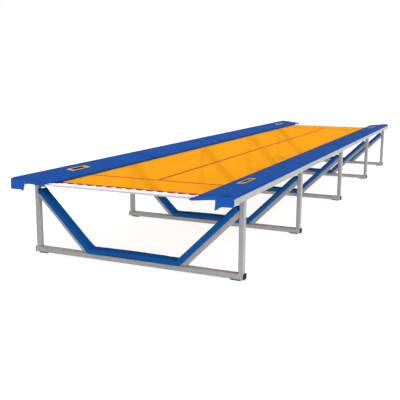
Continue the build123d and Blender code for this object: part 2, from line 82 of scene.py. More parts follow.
# ---------------------------------------------------------------- places taken from the frame
SIDES = {"left": -1, "right": 1}
ENDS = {"near": -1, "far": 1}
PAD_COUNT = 4
FRAME_COUNT = 5
BED_LOW, BED_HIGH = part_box("bed")
BAND_LOW, BAND_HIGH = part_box("bed_end_bands")
WEB_LOW, WEB_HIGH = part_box("bed_side_webbing")
LINES_LOW, LINES_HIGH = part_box("bed_lines")
TABS_LOW, TABS_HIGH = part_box("bed_end_tabs")
WINDING_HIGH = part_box("end_lacing")[1]
RINGS_LOW, RINGS_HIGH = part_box("bed_rings")
PLATES_LOW, PLATES_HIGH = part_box("rail_eye_plates")
SPRINGS_LOW, SPRINGS_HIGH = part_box("side_springs_right")
ROPES_LOW, ROPES_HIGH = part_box("end_ropes")
SAG_START = PLATES_HIGH.x
SPRINGS_PER_SIDE = 78
ROPE_RADIUS = (ROPES_HIGH.z - ROPES_LOW.z) / 2
ROPE_Y = ROPES_HIGH.y - ROPE_RADIUS
ROPE_Z = (ROPES_HIGH.z + ROPES_LOW.z) / 2
TABS_PER_END = 14
TAB_PITCH = 2 * WINDING_HIGH.x / TABS_PER_END
TAB_WIDTH = 2 * (TABS_HIGH.x - (TABS_PER_END - 1) / 2 * TAB_PITCH)
TAB_LENGTH = 0.05
STITCH_Y = BED_HIGH.y
LINE_WIDTH = 0.036

# ---------------------------------------------------------------- sizes of the soft pieces
EDGE_WEB_WIDTH = 0.05
EYE_PLATE_WIDTH = 0.022
PAD_RELIEF = 0.02
PAD_RELIEF_LENGTH = 0.22
FLAP_TUCK = 0.012
FLAP_THICKNESS = 0.0018
HEM_LENGTH = 0.25
HEM_HEIGHT = 0.035
HEM_TIP = 0.032
HEM_TAPER = 0.9
PATCH_THICKNESS = 0.0008
BAR_MARGIN = (0.015, 0.055)
BAR_LIFT = 0.0014
DROP_HEIGHT = 0.1
SAME_PLACE = 0.00002


# ---------------------------------------------------------------- settings
def colour(name, text, value):
    """A colour setting with an alpha of one."""
    return bpy.props.FloatVectorProperty(
        name=name, description=text, subtype="COLOR", size=4, min=0, max=1, default=(*value, 1)
    )


def length(name, text, value):
    """A size setting in metres."""
    return bpy.props.FloatProperty(name=name, description=text, unit="LENGTH", min=0, default=value)


class TrackSteel(bpy.types.PropertyGroup):
    """Finish of the tubes and the small steel pieces."""

    zinc: colour("Zinc", "Galvanised tube", (0.315, 0.315, 0.32))
    plating: colour("Plating", "Springs, bolts and eye plates", (0.42, 0.42, 0.43))
    spangle: length("Spangle", "Size of a zinc crystal patch", 0.03)


class TrackCovers(bpy.types.PropertyGroup):
    """Coated cloth covers of the side pads, the leg pads and the flaps."""

    pad_blue: colour("Pad cloth", "Side pads and flaps", (0.0065, 0.045, 0.2))
    flap_blue_painted_light: colour("Flap cloth painted lighter", "Flaps and hems, lighter where they hang", (0.015, 0.082, 0.36))
    # A lighter copy of the pad cloth: painted light on the flaps and hems, whose hanging faces the lamps
    # light less than the pad tops.
    leg_blue: colour("Leg pad cloth", "Pads on the leg frames", (0.0045, 0.075, 0.30))
    label_yellow: colour("Patch", "Patch on the end pads", (0.56, 0.29, 0.006))
    voxel: length("Cloth mesh", "Edge of a cloth face before it is stuffed", 0.012)
    inset: length("Inset", "How far a cover starts inside its foam", 0.004)
    swell: length("Swell", "The most that a cover may swell from there", 0.007)
    welt: length("Welt", "Radius of the sewn welt along a pad's edges", 0.0022)


class TrackBed(bpy.types.PropertyGroup):
    """The woven bed and its webbing."""

    orange: colour("Weave", "Straps of the bed", (0.72, 0.31, 0.010))
    red: colour("Red webbing", "Lines and end bands", (0.35, 0.014, 0.014))
    pitch: length("Strap pitch", "Distance from strap to strap", 0.016)
    station: length("Station", "Edge of a face along the bed", 0.12)


class TrackRopes(bpy.types.PropertyGroup):
    """End ropes, the cord wound on them and its tabs."""

    white: colour("Rope", "End ropes, cord and tabs", (0.62, 0.62, 0.63))
    lay: length("Lay", "Length of one turn of the strands", 0.05)
    cord: length("Cord", "Radius of the wound cord", 0.0042)


class TrackStage(bpy.types.PropertyGroup):
    """Floor, light and camera."""

    floor: colour("Floor", "Floor paint, which is lit from within as well", (0.18, 0.18, 0.18))
    glow: bpy.props.FloatProperty(name="Glow", description="Strength of the floor's own light", default=0.88)
    sky: bpy.props.FloatProperty(name="Sky", description="Strength of the even white light", default=1.0)
    key: bpy.props.FloatProperty(name="Key", description="Strength of the high sun", default=2.7)
    fill: bpy.props.FloatProperty(name="Fill", description="Strength of the low sun", default=0.9)
    lens: bpy.props.FloatProperty(name="Lens", description="Focal length in millimetres", default=57.05)


# ---------------------------------------------------------------- shader sums
class Flow:
    """One output of a shader node, which adds, subtracts, multiplies and divides like a number."""

    def __init__(self, finish, socket):
        self.finish = finish
        self.socket = socket

    def maths(self, operation, *values):
        return self.finish.node("ShaderNodeMath", {"operation": operation}, dict(enumerate(values)))

    def __add__(self, other):
        return self.maths("ADD", self, other)

    def __sub__(self, other):
        return self.maths("SUBTRACT", self, other)

    def __rsub__(self, other):
        return self.maths("SUBTRACT", other, self)

    def __mul__(self, other):
        return self.maths("MULTIPLY", self, other)

    def __truediv__(self, other):
        return self.maths("DIVIDE", self, other)

    __radd__ = __add__
    __rmul__ = __mul__

    def wave(self):
        """A sine of the value."""
        return self.maths("SINE", self)

    def above(self, limit):
        """One where the value is over the limit."""
        return self.maths("GREATER_THAN", self, limit)

    def most(self, other):
        """The larger of the two."""
        return self.maths("MAXIMUM", self, other)

    def size(self):
        """The value without its sign."""
        return self.maths("ABSOLUTE", self)


class Finish:
    """A material being made, with its principled shader and the place that its patterns read."""

    def __init__(self, name):
        self.material = bpy.data.materials.new(name)
        self.material.use_nodes = True
        self.tree = self.material.node_tree
        self.shader = self.tree.nodes["Principled BSDF"]
        self.place = self.node("ShaderNodeTexCoord", output="Object")

    def node(self, kind, settings=None, inputs=None, output=0):
        """Adds any node: its settings first, then the values or links of its sockets."""
        made = self.tree.nodes.new(kind)
        for key, value in (settings or {}).items():
            if key == "stops":
                for stop, (position, tint) in zip(made.color_ramp.elements, value):
                    stop.position = position
                    stop.color = tint
            else:
                setattr(made, key, value)
        for key, value in (inputs or {}).items():
            self.feed(made.inputs[key], value)
        return Flow(self, made.outputs[output])

    def feed(self, socket, value):
        """Links a flow to a socket, or sets the socket's own value."""
        if isinstance(value, Flow):
            self.tree.links.new(value.socket, socket)
        else:
            socket.default_value = value

    def set(self, **inputs):
        """Sets or links sockets of the principled shader, written with underscores for spaces."""
        for key, value in inputs.items():
            self.feed(self.shader.inputs[key.replace("_", " ")], value)
        return self

    def noise(self, scale, detail=3.0, stretch=(1, 1, 1)):
        """Soft noise, about one patch to 1 / scale metres, drawn out along any axis."""
        place = self.node("ShaderNodeMapping", {}, {"Vector": self.place, "Scale": stretch})
        return self.node("ShaderNodeTexNoise", {}, {"Vector": place, "Scale": scale, "Detail": detail})

    def cells(self, size):
        """A random grey for each patch of about that size."""
        made = self.node("ShaderNodeTexVoronoi", {}, {"Vector": self.place, "Scale": 1 / size}, "Color")
        return self.axes(made)[0]

    def axes(self, vector):
        """The three parts of a vector."""
        split = self.node("ShaderNodeSeparateXYZ", {}, {"Vector": vector})
        return [Flow(self, split.socket.node.outputs[n]) for n in range(3)]

    def mix(self, mask, first, second):
        """A blend of two colours."""
        return self.node("ShaderNodeMix", {"data_type": "RGBA"}, {0: mask, 6: first, 7: second}, 2)

    def tinted(self, tint, mask, low, high):
        """A colour whose brightness runs from low to high times the tint with the mask."""
        return self.mix(mask, shade(tint, low), shade(tint, high))

    def bump(self, height, depth, strength=1.0):
        """A normal from a height of nought to one, at a depth in metres."""
        return self.node("ShaderNodeBump", {}, {"Height": height, "Distance": depth, "Strength": strength})


def shade(tint, factor):
    """A colour made lighter or darker, with its alpha kept."""
    return (*(min(1.0, c * factor) for c in tint[:3]), 1.0)


def galvanised(name, tint, spangle):
    """Hot-dipped zinc: grey crystal patches with slightly different sheens, and faint runs."""
    f = Finish(name)
    patches = f.cells(spangle)
    runs = f.noise(9, 4, (1, 1, 0.25))
    tone = patches * 0.5 + runs * 0.5
    f.set(
        Base_Color=f.tinted(tint, tone, 0.78, 1.2),
        Metallic=0.45,
        Roughness=0.4 + patches * 0.16,
        Normal=f.bump(f.noise(160, 4), 0.0003, 0.35),
    )
    return f.material


def plated(name, tint, coil=0.0):
    """Bright zinc plate; a coil pitch in metres rounds it into turns of wire across X, with painted shade
    between the turns.
    """
    f = Finish(name)
    speck_and_turn_shade = f.noise(300, 2)
    grain = f.bump(speck_and_turn_shade, 0.0002, 0.3)
    if coil:
        turns = (f.axes(f.place)[0] * (math.tau / coil)).wave() * 0.5 + 0.5
        grain = f.bump(turns, 0.0015, 0.8)
        # With a coil the colour follows the turns: painted shade in the gaps between turns of wire. Without
        # one it is specks of random tone.
        speck_and_turn_shade = turns
    f.set(Base_Color=f.tinted(tint, speck_and_turn_shade, 0.82, 1.12), Metallic=0.6, Roughness=0.38, Normal=grain)
    return f.material


def coated_cloth(name, tint):
    """Coated cloth over foam: a fine grain, slow shifts of tone, and faint soft creases with painted shade in
    their hollows.
    """
    f = Finish(name)
    slow = f.noise(2.2, 2)
    grain = f.noise(900, 2)
    creases = f.noise(14, 3, (1, 0.35, 1))
    height = creases * 0.85 + grain * 0.15
    f.set(
        # The slow share is tone that differs at random. The crease share is painted shade, darker where the
        # crease bump is low.
        Base_Color=f.tinted(tint, slow * 0.7 + creases * 0.3, 0.82, 1.2),
        Roughness=0.55 + creases * 0.14,
        Specular_IOR_Level=0.005,
        Normal=f.bump(height, 0.004, 0.25),
    )
    return f.material


def strap_weave(name, tint, pitch):
    """Narrow straps woven one over, one under, with small holes, that let some light through."""
    f = Finish(name)
    x, y, _ = f.axes(f.place)
    across = (x * (math.pi / pitch)).wave()
    along = (y * (math.pi / pitch)).wave()
    strap_x = across.size()
    strap_y = along.size()
    over = (across * along).above(0.0)
    height = over * strap_x + (1 - over) * strap_y
    cover = strap_x.most(strap_y).above(0.24)
    f.set(
        # Colour follows the weave's height: painted shade where a strap dips under the next, with a little
        # tone that differs at random.
        Base_Color=f.tinted(tint, height * 0.85 + f.noise(3, 2) * 0.15, 0.6, 1.18),
        Roughness=0.6,
        IOR=1.0,
        Transmission_Weight=0.4,
        Alpha=cover,
        Normal=f.bump(height, 0.0012, 0.5),
    )
    return f.material


def webbing(name, tint, pitch=0.0035):
    """Ribbed webbing with slightly uneven dye, and painted shade in the grooves between the ribs."""
    f = Finish(name)
    x, y, _ = f.axes(f.place)
    ribs = ((x + y) * (math.tau / pitch)).wave() * 0.5 + 0.5
    f.set(
        # Colour follows the ribs: painted shade in the grooves between them. The noise gives the uneven dye.
        Base_Color=f.tinted(tint, ribs * 0.4 + f.noise(25, 3) * 0.6, 0.8, 1.15),
        Roughness=0.7,
        Specular_IOR_Level=0.03,
        Normal=f.bump(ribs, 0.0006, 0.5),
    )
    return f.material


def rope_fibre(name, tint):
    """White yarn, with painted shade in the grooves."""
    f = Finish(name)
    fibre = f.noise(420, 3, (1, 0.4, 1))
    f.set(
        # Colour follows the fibre bump: painted shade, greyer in the grooves.
        Base_Color=f.tinted(tint, fibre, 0.86, 1.12),
        Roughness=0.75,
        Specular_IOR_Level=0.2,
        Normal=f.bump(fibre, 0.0008, 0.4),
    )
    return f.material


def moulded(name, tint, roughness, grain=500):
    """Moulded plastic or rubber with a fine grain and slightly dusty patches."""
    f = Finish(name)
    f.set(
        Base_Color=f.tinted(tint, f.noise(18, 3), 0.8, 1.4),
        Roughness=roughness + f.noise(40, 2) * 0.1,
        Specular_IOR_Level=0.06,
        Normal=f.bump(f.noise(grain, 2), 0.0003, 0.4),
    )
    return f.material


def printed(name, tint):
    """Printed film with a soft sheen and a little wear."""
    f = Finish(name)
    f.set(
        Base_Color=f.tinted(tint, f.noise(30, 4), 0.92, 1.05),
        Roughness=0.55 + f.noise(60, 3) * 0.1,
        Specular_IOR_Level=0.02,
        Normal=f.bump(f.noise(700, 2), 0.0002, 0.3),
    )
    return f.material


# ---------------------------------------------------------------- modelling
def choose(obj):
    """Makes one object the only selected and active one."""
    bpy.ops.object.select_all(action="DESELECT")
    obj.select_set(True)
    bpy.context.view_layer.objects.active = obj
    return obj


def named(name):
    """The object that an operator has just added, renamed."""
    obj = bpy.context.view_layer.objects.active
    obj.name = name
    obj.data.name = name
    return obj


def settle(obj):
    """Puts the object at the origin, unturned and unscaled, with its place in its mesh."""
    choose(obj)
    bpy.ops.object.transform_apply(location=True, rotation=True, scale=True)
    return obj


def modify(obj, kind, **settings):
    """Adds a modifier and applies it."""
    choose(obj)
    made = obj.modifiers.new(kind.title(), kind)
    for key, value in settings.items():
        setattr(made, key, value)
    bpy.ops.object.modifier_apply(modifier=made.name)
    return obj


def row_of(obj, count, step):
    """Repeats a piece in a row, so far apart."""
    return modify(
        obj, "ARRAY", count=count, use_relative_offset=False, use_constant_offset=True,
        constant_offset_displace=step,
    )


def tidy_shell(obj):
    """Merges doubles and turns every face outwards."""
    choose(obj)
    bpy.ops.object.mode_set(mode="EDIT")
    bpy.ops.mesh.select_all(action="SELECT")
    bpy.ops.mesh.remove_doubles(threshold=SAME_PLACE)
    bpy.ops.mesh.normals_make_consistent(inside=False)
    bpy.ops.object.mode_set(mode="OBJECT")
    return obj


def smooth(obj, degrees=40):
    """Smooth shading that keeps edges sharper than the angle."""
    choose(obj)
    bpy.ops.object.shade_smooth_by_angle(angle=math.radians(degrees))
    return obj


def paint(obj, material):
    """Gives the piece one material."""
    obj.data.materials.clear()
    obj.data.materials.append(material)
    return obj


def joined(parts, name):
    """Several objects as one."""
    choose(parts[0])
    for part in parts[1:]:
        part.select_set(True)
    bpy.ops.object.join()
    return settle(named(name))


def twin(obj, name, flip=(1, 1, 1), shift=(0, 0, 0)):
    """A copy with its own mesh, mirrored by the signs in flip and then moved."""
    mesh = obj.data.copy()
    mesh.transform(Matrix.Translation(shift) @ Matrix.Diagonal((*flip, 1)))
    if flip[0] * flip[1] * flip[2] < 0:
        mesh.flip_normals()
    made = bpy.data.objects.new(name, mesh)
    bpy.context.scene.collection.objects.link(made)
    return made


def from_node(node, name):
    """A merged copy of a CAD node's mesh, as the start of a new piece."""
    made = bpy.data.objects.new(name, frame["nodes"][node].data.copy())
    bpy.context.scene.collection.objects.link(made)
    return tidy_shell(made)


def sheet_block(name, low, high, pieces_x, pieces_y):
    """A flat closed strip between two corners, divided so that it can bend."""
    bpy.ops.object.select_all(action="DESELECT")
    bpy.ops.mesh.primitive_grid_add(
        x_subdivisions=pieces_x,
        y_subdivisions=pieces_y,
        size=1,
        location=((low.x + high.x) / 2, (low.y + high.y) / 2, low.z),
    )
    obj = named(name)
    obj.scale = (high.x - low.x, high.y - low.y, 1)
    settle(obj)
    return modify(obj, "SOLIDIFY", thickness=high.z - low.z, offset=1)


def pipe(name, points, radius, closed=False, sides=3, order=3):
    """A round cord whose smooth line follows the points."""
    line = bpy.data.curves.new(name, "CURVE")
    line.dimensions = "3D"
    line.bevel_depth = radius
    line.bevel_resolution = sides
    line.use_fill_caps = not closed
    spline = line.splines.new("NURBS")
    spline.points.add(len(points) - 1)
    for point, place in zip(spline.points, points):
        point.co = (*place, 1)
    spline.order_u = order
    spline.use_endpoint_u = not closed
    spline.use_cyclic_u = closed
    spline.resolution_u = 3
    obj = bpy.data.objects.new(name, line)
    bpy.context.scene.collection.objects.link(obj)
    choose(obj)
    bpy.ops.object.convert(target="MESH")
    obj = tidy_shell(named(name))
    return smooth(obj, 60)


def sag(obj):
    """Bakes the piece's transform into its mesh."""
    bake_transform(obj)
    return obj


# ---------------------------------------------------------------- stuffed covers
def stuffed(node, name, covers, keep_under):
    """A cover stuffed over foam: remeshed, inflated as cloth, and held to a few millimetres of swell.

    keep_under gives the lowest height that a cover may reach at a place across the track.
    """
    obj = from_node(node, name)
    modify(obj, "REMESH", mode="VOXEL", voxel_size=covers.voxel)
    modify(obj, "DISPLACE", strength=-covers.inset, mid_level=0)
    modify(obj, "SMOOTH", factor=0.5, iterations=3)
    start = [v.co.copy() for v in obj.data.vertices]
    inflate(obj)
    for vertex, was in zip(obj.data.vertices, start):
        step = vertex.co - was
        if step.length > covers.swell:
            vertex.co = was + step * (covers.swell / step.length)
        vertex.co.z = max(vertex.co.z, keep_under(vertex.co))
    obj.data.update()
    return smooth(obj, 75)


def inflate(obj, pressure=4.0, frames=20):
    """Runs a closed mesh as cloth with air in it, and applies the result."""
    choose(obj)
    cloth = obj.modifiers.new("Cloth", "CLOTH")
    cloth.settings.use_pressure = True
    cloth.settings.uniform_pressure_force = pressure
    cloth.settings.effector_weights.gravity = 0
    cloth.settings.quality = 4
    cloth.settings.shrink_min = -0.012
    for number in range(1, frames + 1):
        bpy.context.scene.frame_set(number)
    bpy.ops.object.modifier_apply(modifier=cloth.name)
    bpy.context.scene.frame_set(1)


def side_pad_floor(side_pad_node, relief):
    """The lowest that the right-hand side pad's cover may hang: the foam's own under face.

    relief is how far that face has risen at the pad's far end, over the end rope.
    """
    low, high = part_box(side_pad_node)
    rail_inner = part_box("side_rail_right")[0].x
    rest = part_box("side_rail_right")[1].z + 0.0004
    slope = (rest - low.z) / (rail_inner - low.x)

    def floor(place):
        raised = relief * max(0.0, 1 - (high.y - place.y) / PAD_RELIEF_LENGTH)
        return min(rest, rest - slope * max(0.0, rail_inner - place.x) + raised)

    return floor


def surface_of(obj):
    """The piece's mesh, ready for lines to be dropped on it."""
    mesh = obj.data
    return BVHTree.FromPolygons([v.co for v in mesh.vertices], [p.vertices for p in mesh.polygons])


def drop_on(surface, x, y, height):
    """Where a line straight down from a place meets a surface, or None."""
    return surface.ray_cast(Vector((x, y, height)), Vector((0, 0, -1)))[0]


def welt_loop(pad, name, low, high, radius, edge_in=0.012, step=0.09):
    """The sewn welt round the upper edge of a pad, laid on its swollen cover."""
    surface = surface_of(pad)
    points = []
    count_y = max(2, round((high.y - low.y) / step))
    count_x = max(2, round((high.x - low.x) / step))
    corners = [
        ((low.x, low.y), (high.x, low.y), count_x),
        ((high.x, low.y), (high.x, high.y), count_y),
        ((high.x, high.y), (low.x, high.y), count_x),
        ((low.x, high.y), (low.x, low.y), count_y),
    ]
    for (x0, y0), (x1, y1), count in corners:
        for n in range(count):
            t = (n + 0.5) / count
            x, y = x0 + (x1 - x0) * t, y0 + (y1 - y0) * t
            x = min(max(x, low.x + edge_in), high.x - edge_in)
            y = min(max(y, low.y + edge_in), high.y - edge_in)
            found = drop_on(surface, x, y, high.z + DROP_HEIGHT)
            if found is not None:
                points.append(found + Vector((0, 0, radius * 0.2)))
    return pipe(name, points, radius, closed=True, sides=1)


class TRACK_OT_side_pads(bpy.types.Operator):
    """Make the eight side pads, with their welts"""

    bl_idname = "track.side_pads"
    bl_label = "Side Pads"

    def execute(self, context):
        covers = context.scene.track_covers
        cloth = coated_cloth("Pad cloth", covers.pad_blue)
        for kind, place, relief in (("end", PAD_COUNT, PAD_RELIEF), ("middle", PAD_COUNT - 1, 0.0)):
            node = f"side_pad_right_{place}"
            low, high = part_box(node)
            pad = stuffed(node, f"pattern_{kind}", covers, side_pad_floor(node, relief))
            welt = welt_loop(pad, f"pattern_welt_{kind}", low, high, covers.welt)
            for side, sign in SIDES.items():
                for number, flip_y in ((place, 1), (PAD_COUNT + 1 - place, -1)):
                    body = f"side_pad_{side}_{number}"
                    cover = twin(pad, f"pad_cover_{side}_{number}", (sign, flip_y, 1))
                    edge = twin(welt, f"pad_welt_{side}_{number}", (sign, flip_y, 1))
                    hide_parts(body)
                    for piece in (cover, edge):
                        paint(piece, cloth)
                        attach(piece, body)
            bpy.data.objects.remove(pad)
            bpy.data.objects.remove(welt)
        return {"FINISHED"}


class TRACK_OT_leg_pads(bpy.types.Operator):
    """Make the folded pads on the five leg frames"""

    bl_idname = "track.leg_pads"
    bl_label = "Leg Pads"

    def execute(self, context):
        covers = context.scene.track_covers
        cloth = coated_cloth("Leg pad cloth", covers.leg_blue)
        middle = (FRAME_COUNT + 1) // 2
        node = f"leg_pad_{middle}"
        pad = stuffed(node, "pattern_leg", covers, lambda place: 0.0)
        for number in range(1, FRAME_COUNT + 1):
            low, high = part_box(f"leg_pad_{number}")
            cover = twin(pad, f"leg_cover_{number}", shift=(0, (low.y + high.y) / 2, 0))
            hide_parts(f"leg_pad_{number}")
            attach(paint(cover, cloth), "frame")
        bpy.data.objects.remove(pad)
        return {"FINISHED"}


class TRACK_OT_end_flaps(bpy.types.Operator):
    """Make the cloth flaps that hang over the rail ends"""

    bl_idname = "track.end_flaps"
    bl_label = "End Flaps"

    def execute(self, context):
        # The flaps and hems take the lighter copy of the pad cloth, which is painted light.
        cloth = coated_cloth("Flap cloth painted lighter", context.scene.track_covers.flap_blue_painted_light)
        for side, sign in SIDES.items():
            for number, end in ((1, -1), (PAD_COUNT, 1)):
                body = f"side_pad_{side}_{number}"
                flap = hanging_flap(f"flap_cloth_{side}_{number}", side, number, end)
                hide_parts(f"end_flap_{side}_{number}")
                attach(paint(flap, cloth), body)
                hem = end_hem(f"hem_cloth_{side}_{number}", side, number, end)
                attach(paint(hem, cloth), body)
        return {"FINISHED"}


def end_hem(name, side, number, end):
    """The cover's hem across a pad's end, from the flap to the inner corner, where its tip hangs loose."""
    low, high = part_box(f"side_pad_{side}_{number}")
    sign = SIDES[side]
    inner = low.x if sign > 0 else high.x
    face = high.y if end > 0 else low.y
    rail_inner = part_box("side_rail_right")[0].x
    slope = (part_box("side_rail_right")[1].z - low.z) / (rail_inner - abs(inner))
    bpy.ops.object.select_all(action="DESELECT")
    bpy.ops.mesh.primitive_grid_add(x_subdivisions=40, y_subdivisions=4, size=1)
    hem = named(name)
    for vertex in hem.data.vertices:
        place = (vertex.co.x + 0.5) * (HEM_LENGTH + HEM_TIP) - HEM_TIP
        loose = max(0.0, -place / HEM_TIP)
        foot = low.z + 0.003 + slope * max(0.0, place)
        middle = foot + HEM_HEIGHT * (0.5 - 0.12 * loose) - 0.012 * loose ** 2
        out = 0.003 + 0.0012 * math.sin(place * 40) - 0.01 * loose ** 2
        tall = HEM_HEIGHT * (1 - HEM_TAPER * loose)
        vertex.co = (inner + sign * place, face + end * out, middle + vertex.co.y * tall)
    hem.data.update()
    modify(hem, "SOLIDIFY", thickness=FLAP_THICKNESS, offset=0)
    return smooth(tidy_shell(hem), 60)


def hanging_flap(name, side, number, end):
    """A flap sewn under the pad's top edge, falling past the rail with a slack, slightly curled hem."""
    low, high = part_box(f"end_flap_{side}_{number}")
    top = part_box(f"side_pad_{side}_{number}")[1].z - FLAP_TUCK
    bpy.ops.object.select_all(action="DESELECT")
    bpy.ops.mesh.primitive_grid_add(
        x_subdivisions=24, y_subdivisions=16, size=1, rotation=(math.pi / 2, 0, 0)
    )
    flap = named(name)
    flap.scale = (high.x - low.x, top - low.z, 1)
    flap.location = ((low.x + high.x) / 2, high.y if end > 0 else low.y, (top + low.z) / 2)
    settle(flap)
    phase = {"left": 0.6, "right": 2.1}[side] + number
    # The lower edge drops at its inner corner, which curls; on the right it is lifted over the rest.
    corner, lifted = {"left": (-0.008, 0.0), "right": (-0.020, 0.018)}[side]
    for vertex in flap.data.vertices:
        drop = max(0.0, (top - vertex.co.z) / (top - low.z))
        along = abs(vertex.co.x - (low.x if side == "right" else high.x)) / (high.x - low.x)
        fold = math.sin(along * 9.0 + phase) * 0.003 + math.sin(along * 4.0 + 2 * phase) * 0.003
        curl = max(0.0, 1 - along / 0.25) * max(0.0, drop - 0.6) / 0.4
        vertex.co.y += end * (0.004 + drop ** 1.5 * (fold + 0.006) + curl * 0.014)
        rise = min(1.0, along / 0.42)
        vertex.co.z += drop ** 3 * (corner + (lifted - corner) * rise * rise * (3 - 2 * rise))
    flap.data.update()
    modify(flap, "SOLIDIFY", thickness=FLAP_THICKNESS, offset=0)
    return smooth(tidy_shell(flap), 60)


class TRACK_OT_patches(bpy.types.Operator):
    """Make the plain yellow patches with a black bar"""

    bl_idname = "track.patches"
    bl_label = "Patches"

    def execute(self, context):
        covers = context.scene.track_covers
        yellow = printed("Patch yellow", covers.label_yellow)
        black = printed("Patch black", (0.004, 0.004, 0.004, 1))
        for side, sign in SIDES.items():
            for number in (1, PAD_COUNT):
                node = f"pad_label_{side}_{number}"
                body = f"side_pad_{side}_{number}"
                cover = bpy.data.objects[f"pad_cover_{side}_{number}"]
                low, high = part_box(node)
                patch = laid_patch(f"patch_{side}_{number}", cover, low, high, (0, 0), PATCH_THICKNESS)
                bar = laid_patch(f"patch_bar_{side}_{number}", cover, low, high, BAR_MARGIN, BAR_LIFT)
                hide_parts(node)
                for piece, finish in ((patch, yellow), (bar, black)):
                    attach(paint(piece, finish), body)
        return {"FINISHED"}


def laid_patch(name, cover, low, high, margin, lift):
    """A thin patch that follows a cover's surface."""
    bpy.ops.object.select_all(action="DESELECT")
    bpy.ops.mesh.primitive_grid_add(x_subdivisions=8, y_subdivisions=24, size=1)
    patch = named(name)
    patch.scale = (high.x - low.x - 2 * margin[0], high.y - low.y - 2 * margin[1], 1)
    patch.location = ((low.x + high.x) / 2, (low.y + high.y) / 2, high.z + 0.05)
    settle(patch)
    surface = surface_of(cover)
    for vertex in patch.data.vertices:
        found = drop_on(surface, vertex.co.x, vertex.co.y, high.z + DROP_HEIGHT)
        vertex.co.z = (found.z if found is not None else high.z) + lift
    modify(patch, "SOLIDIFY", thickness=PATCH_THICKNESS, offset=0)
    return smooth(tidy_shell(patch), 40)


# ---------------------------------------------------------------- bed
class TRACK_OT_bed(bpy.types.Operator):
    """Make the woven bed in two halves"""

    bl_idname = "track.bed"
    bl_label = "Bed"

    def execute(self, context):
        bed = context.scene.track_bed
        weave = strap_weave("Strap weave", bed.orange, bed.pitch)
        edge = webbing("Orange webbing", bed.orange)
        red = webbing("Red webbing", bed.red)
        rows = round((BED_HIGH.y - BED_LOW.y) / bed.station)
        columns = 24
        for side, sign in SIDES.items():
            half = half_strip(
                f"bed_weave_{side}", sign, (0, BED_HIGH.x), (BED_LOW.y, BED_HIGH.y), (BED_LOW, BED_HIGH),
                columns, rows,
            )
            if sign > 0:
                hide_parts("bed")
            sag(paint(half, weave))
            across, along = (BED_HIGH.x - EDGE_WEB_WIDTH, BED_HIGH.x), (WEB_LOW.y, WEB_HIGH.y)
            web = half_strip(f"bed_edge_web_{side}", sign, across, along, (WEB_LOW, WEB_HIGH), 3, rows)
            if sign > 0:
                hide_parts("bed_side_webbing")
            sag(paint(web, edge))
            bands, lines = [], []
            for end in ENDS.values():
                along = (end * BAND_HIGH.y, end * WEB_HIGH.y)
                bands.append(
                    half_strip("band", sign, (0, BAND_HIGH.x), along, (BAND_LOW, BAND_HIGH), columns, 2)
                )
                along = (end * LINES_HIGH.y, end * (LINES_HIGH.y - LINE_WIDTH))
                lines.append(
                    half_strip("line", sign, (0, LINES_HIGH.x), along, (LINES_LOW, LINES_HIGH), columns, 1)
                )
            along = (LINES_LOW.y + LINE_WIDTH, LINES_HIGH.y - LINE_WIDTH)
            lines.append(
                half_strip("line", sign, (0, LINE_WIDTH / 2), along, (LINES_LOW, LINES_HIGH), 1, rows)
            )
            for name, parts, node in (("bed_band", bands, "bed_end_bands"), ("bed_line", lines, "bed_lines")):
                piece = joined(parts, f"{name}_{side}")
                if sign > 0:
                    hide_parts(node)
                sag(paint(piece, red))
        return {"FINISHED"}


def half_strip(name, sign, across, along, box, pieces_x, pieces_y):
    """A strip of one half of the bed, as thick as a box is tall.

    across and along say where it starts and ends, from the middle of the width and of the length.
    """
    x0, x1 = sorted(sign * place for place in across)
    y0, y1 = sorted(along)
    low, high = box
    return sheet_block(name, Vector((x0, y0, low.z)), Vector((x1, y1, high.z)), pieces_x, pieces_y)


class TRACK_OT_springs(bpy.types.Operator):
    """Make the side springs and the rings they pull on"""

    bl_idname = "track.springs"
    bl_label = "Springs"

    def execute(self, context):
        steel = context.scene.track_steel
        wire = plated("Spring wire", steel.plating, coil=0.0042)
        plain = plated("Ring wire", steel.plating)
        pitch = (PLATES_HIGH.y - PLATES_LOW.y - EYE_PLATE_WIDTH) / (SPRINGS_PER_SIDE - 1)
        first = PLATES_LOW.y + EYE_PLATE_WIDTH / 2
        spring = one_spring()
        ring = one_ring()
        for pattern in (spring, ring):
            row_of(pattern, SPRINGS_PER_SIDE, (0, pitch, 0))
        for side, sign in SIDES.items():
            row = twin(spring, f"springs_{side}", (sign, 1, 1), (0, first, 0))
            rings = twin(ring, f"bed_ring_row_{side}", (sign, 1, 1), (0, first, 0))
            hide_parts(f"side_springs_{side}")
            if sign > 0:
                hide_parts("bed_rings")
            sag(paint(row, wire))
            sag(paint(rings, plain))
        bpy.data.objects.remove(spring)
        bpy.data.objects.remove(ring)
        return {"FINISHED"}


